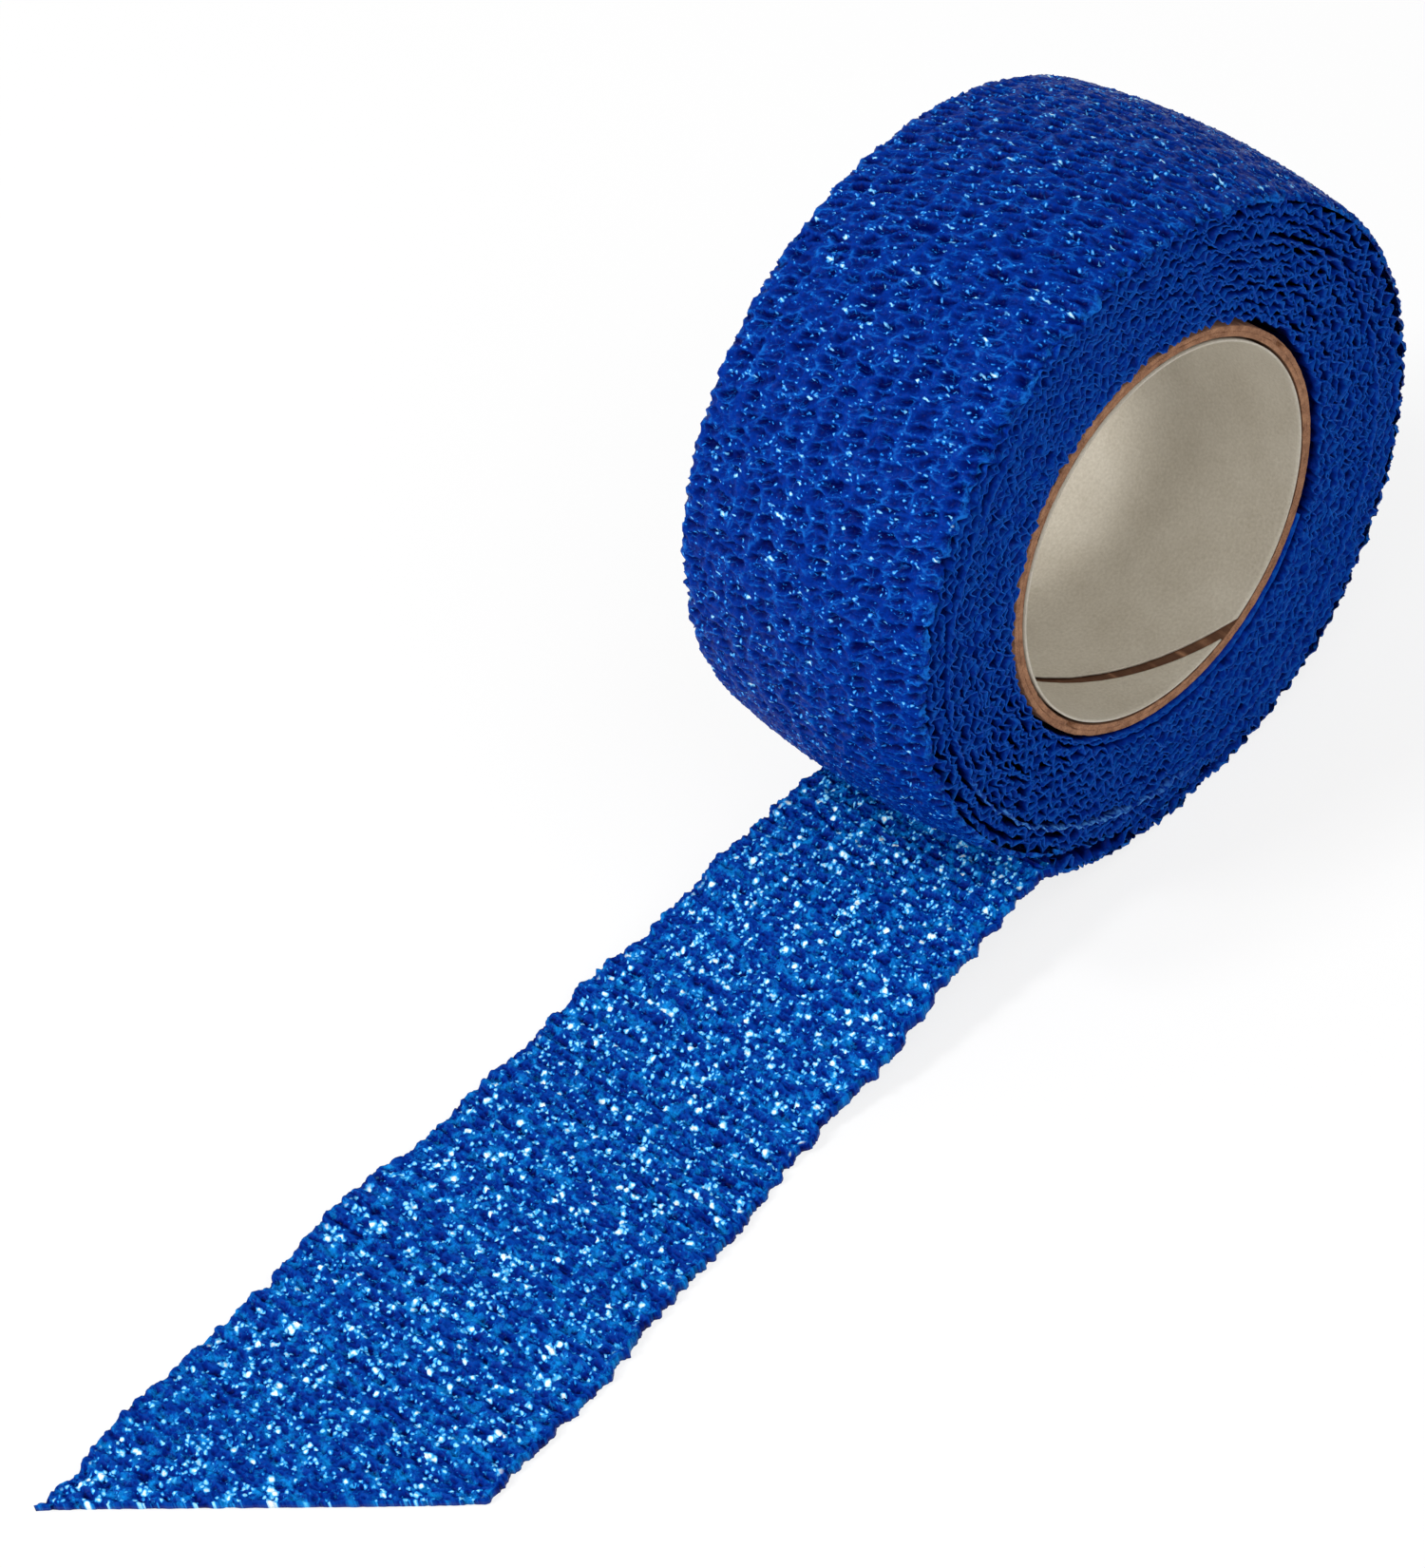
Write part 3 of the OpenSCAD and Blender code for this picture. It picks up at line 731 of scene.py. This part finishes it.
rows = round((LAST_TURN_SWEEP + PEEL) * roll_r / TURN_STEP)
flat_half = half_w - LIP_R + LIP_R * LIP_TURN
columns = round(flat_half / ACROSS_STEP) * 2 + 1
v_line = np.linspace(-1, 1, columns) * flat_half
bend = np.linspace(LAST_TURN_SWEEP, -PEEL, rows)[:, None]
peeled = eased(-bend / PEEL)
s, v = np.broadcast_arrays((LAST_TURN_SWEEP - bend) * roll_r, v_line[None, :])
over = np.clip(np.abs(v) - (half_w - LIP_R), 0, None) / LIP_R
crown = CROWN * eased(np.minimum(bend, CROWN_TO - bend) / CROWN_RISE) * np.clip(1 - (v / half_w) ** 2, 0, 1)
sag = eased(np.minimum(bend, SAG_TO - bend) / SAG_RISE) - eased(1 - np.abs(bend - math.pi) / SAG_TOP)
radius = roll_r - TURN_PITCH / MM * bend / (2 * math.pi) - LIP_R * (1 - np.cos(over)) + crown + SAG * sag
radius += PEEL_LOOSE * peeled
ragged = smooth_noise(np.random.default_rng(21), (2, rows), 2).T * LIP_PLAY
along = np.sign(v) * (np.minimum(np.abs(v), half_w - LIP_R) + LIP_R * np.sin(over))
along += np.where(v < 0, ragged[:, :1], ragged[:, 1:]) * np.abs(v / half_w) ** 8
along = along * (1 - PEEL_NARROW * peeled) - PEEL_DRIFT * peeled
points = np.stack((radius * np.sin(bend), along, -radius * np.cos(bend)), -1) * MM
lift = np.stack((np.cos(over) * np.sin(bend), np.sign(v) * np.sin(over), -np.cos(over) * np.cos(bend)), -1)
# Its tones paint shade in the pockets and highlight on the rims; the line colour is for painted highlights
web_outer = crinkled_web("cohesive_web_wound", WOUND_FOLDS, tones=("#00084C", "#001B6C", "#023090"),
                         line="#1468C6", film="#0458BC", film_range=(0.62, 0.9), lip_highlight=1.1,
                         specks=WOUND_GLINTS)
last_turn = plain_mesh("last_turn", points.reshape(-1, 3), grid_faces(*s.shape), web_outer)
store(last_turn, strip_place=np.stack((s, v, 0 * v), -1), strip_lift=lift)
wound_crinkle = crinkle_tree("wound_crinkle", WOUND_FOLDS)
grown(last_turn, wound_crinkle, {"Relief": WOUND_RELIEF, "Material": web_outer})
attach(last_turn, "strip")
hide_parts("lead_outer_web")

# Tail and free end
# The length of strip that is pulled off the roll, hangs from its side and lies on the table. Pulled open, its
# webs are so thin that the table shows through as pale dots and film, some of the pale dots being painted
# glints, and its edges are knobbly. It is two pieces: the tail stretches as it is drawn off the roll, and the
# free end lies beyond it.
TAIL_FROM = 15.0
PEEL_AT, PEEL_RISE, PEEL_FALL = 16.2, 6.2, 36.0
PEEL_LEAN = 0.56, 0.78
BEND_AT = 20.0
TAIL_SHIFT = 2.9
TAIL_YAW = math.radians(5.7)
TAIL_CURVE = 0.0004
NECK_HALF, END_HALF = 11.4, 14.4
NECK_FROM, OPEN_OVER = -8.0, 60.0
TAIL_LEN = 78.0
SNIP = math.tan(math.radians(37))
SPLIT_AT = 52.0
TAIL_STEP, FREE_ROWS = 0.16, 330
TAIL_ACROSS = 127
STRIP_T, UNDER_GAP = 0.95, 0.03
EDGE_ROUND, EDGE_OUT, EDGE_DROP = 0.8, 0.5, 0.4
UNDER_SHARE = 0.3
TAIL_RELIEF = 0.42 * MM
ROCK = 0.12
EDGE_WAVES, EDGE_KNOBS = 0.25, 0.16
WAVE_ROWS, KNOB_ROWS = 40, 5
OPEN_FOLDS = {"pitch": 1.2, "length": 1.7, "skew": 0.0, "stray": 0.9, "depth": 0.55, "small": 0.4,
              "grain": 0.4, "rows": 0.15}
# Pale dots on the open tail: pinholes where the table shows through, and painted glints
OPEN_PINHOLES_AND_GLINTS = [((0.46, 0.46), 0.46, 0.44, ("#0A74D0", "#2098E8", "#9CE4FF")),
             ((0.8, 0.8), 0.34, 0.46, ("#1080DA", "#48BCF8", "#F4FEFF"))]


def tail_middle(t):
    """How far the strip's middle lies to the far side at this distance from under the roll's axis."""
    share = np.clip(t / BEND_AT, 0, 1)
    slope = -math.tan(TAIL_YAW)
    swung = TAIL_SHIFT * share ** 2 * (3 - 2 * share) + slope * BEND_AT * share ** 2 * (share - 1)
    beyond = np.clip(t - BEND_AT, 0, None)
    return swung + slope * beyond + TAIL_CURVE * beyond ** 2


def tail_rise(t):
    """How far the strip stands off the table at this distance, where it hangs from the roll."""
    return PEEL_RISE * (1 - eased((t - PEEL_AT) / PEEL_FALL))


def tail_half(t):
    """Half the strip's width at this distance from under the roll's axis."""
    necked = half_w + (NECK_HALF - half_w) * np.clip((t - NECK_FROM) / (BEND_AT - NECK_FROM), 0, 1)
    return necked + (END_HALF - NECK_HALF) * np.clip((t - BEND_AT) / OPEN_OVER, 0, 1)


def closed_strip(name, t, v, rock, wander, material):
    """A closed shell between the upper and the lower web, with its place and lift kept for the crinkles."""
    rows, columns = t.shape
    up = tail_rise(t)
    beside = (-t - PEEL_LEAN[0] * up,
              tail_middle(t) - PEEL_LEAN[1] * up + v * tail_half(t) / half_w + wander)
    side = np.sign(v) * np.clip((np.abs(v) - half_w + EDGE_ROUND) / EDGE_ROUND, 0, 1)
    points, places, lifts = [], [], []
    for z, way, order in ((STRIP_T + rock + up, 1.0, -1), (UNDER_GAP + up, -UNDER_SHARE, 1)):
        lift = 0 * v, EDGE_OUT * side, way * (1 - EDGE_DROP * np.abs(side))
        for kept, values in ((points, (*beside, z)), (places, (t, v, 0 * v)), (lifts, lift)):
            kept.append(np.stack(np.broadcast_arrays(*values), -1)[:, ::order])
    points, places, lifts = (np.concatenate(kept, 1).reshape(-1, 3) for kept in (points, places, lifts))
    j = np.arange(columns - 1)
    cap = np.stack((j, j + 1, 2 * columns - 2 - j, 2 * columns - 1 - j), -1)
    tube = grid_faces(rows, 2 * columns, wrap_columns=True)
    faces = np.concatenate((tube, cap, cap[:, ::-1] + (rows - 1) * 2 * columns))
    piece = plain_mesh(name, points * MM + np.array((0, 0, TABLE_Z)), faces, material)
    store(piece, strip_place=places, strip_lift=lifts)
    return grown(piece, open_crinkle, {"Relief": TAIL_RELIEF, "Material": material})


tail_rows = round((SPLIT_AT - TAIL_FROM) / TAIL_STEP)
v_line = np.linspace(-half_w, half_w, TAIL_ACROSS)
tail_t = np.repeat(np.linspace(TAIL_FROM, SPLIT_AT, tail_rows)[:, None], TAIL_ACROSS, 1)
snip_t = BEND_AT + TAIL_LEN + v_line * END_HALF / half_w * SNIP
share = np.linspace(0, 1, FREE_ROWS)[1:, None]
t = np.concatenate((tail_t, SPLIT_AT + share * (snip_t[None, :] - SPLIT_AT)))
v = np.repeat(v_line[None, :], len(t), 0)
draw = np.random.default_rng(32)
rock = smooth_noise(draw, (1, len(t)), WAVE_ROWS).T * ROCK
waves = smooth_noise(draw, (2, len(t)), WAVE_ROWS) * EDGE_WAVES
knobs = smooth_noise(draw, (2, len(t)), KNOB_ROWS) * EDGE_KNOBS
edges = (waves + knobs).T
wander = np.where(v < 0, edges[:, :1], edges[:, 1:]) * np.abs(v / half_w) ** 4
# Its tones paint shade in the pockets and highlight on the rims
web_open = crinkled_web("cohesive_web_open", OPEN_FOLDS, tones=("#000746", "#001F7A", "#033E9C"),
                        line="#0868C8", film="#0C88DA", film_range=(0.51, 0.76), lip_highlight=0.0,
                        specks=OPEN_PINHOLES_AND_GLINTS)
open_crinkle = crinkle_tree("open_crinkle", OPEN_FOLDS)
last = tail_rows - 1
tail = closed_strip("tail", *(field[:tail_rows] for field in (t, v, rock, wander)), web_open)
free_end = closed_strip("free_end", *(field[last:] for field in (t, v, rock, wander)), web_open)
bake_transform(tail)
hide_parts("tail_inner_web", "tail_yarns", "tail_outer_web")
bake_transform(free_end)
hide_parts("end_inner_web", "end_yarns", "end_outer_web")
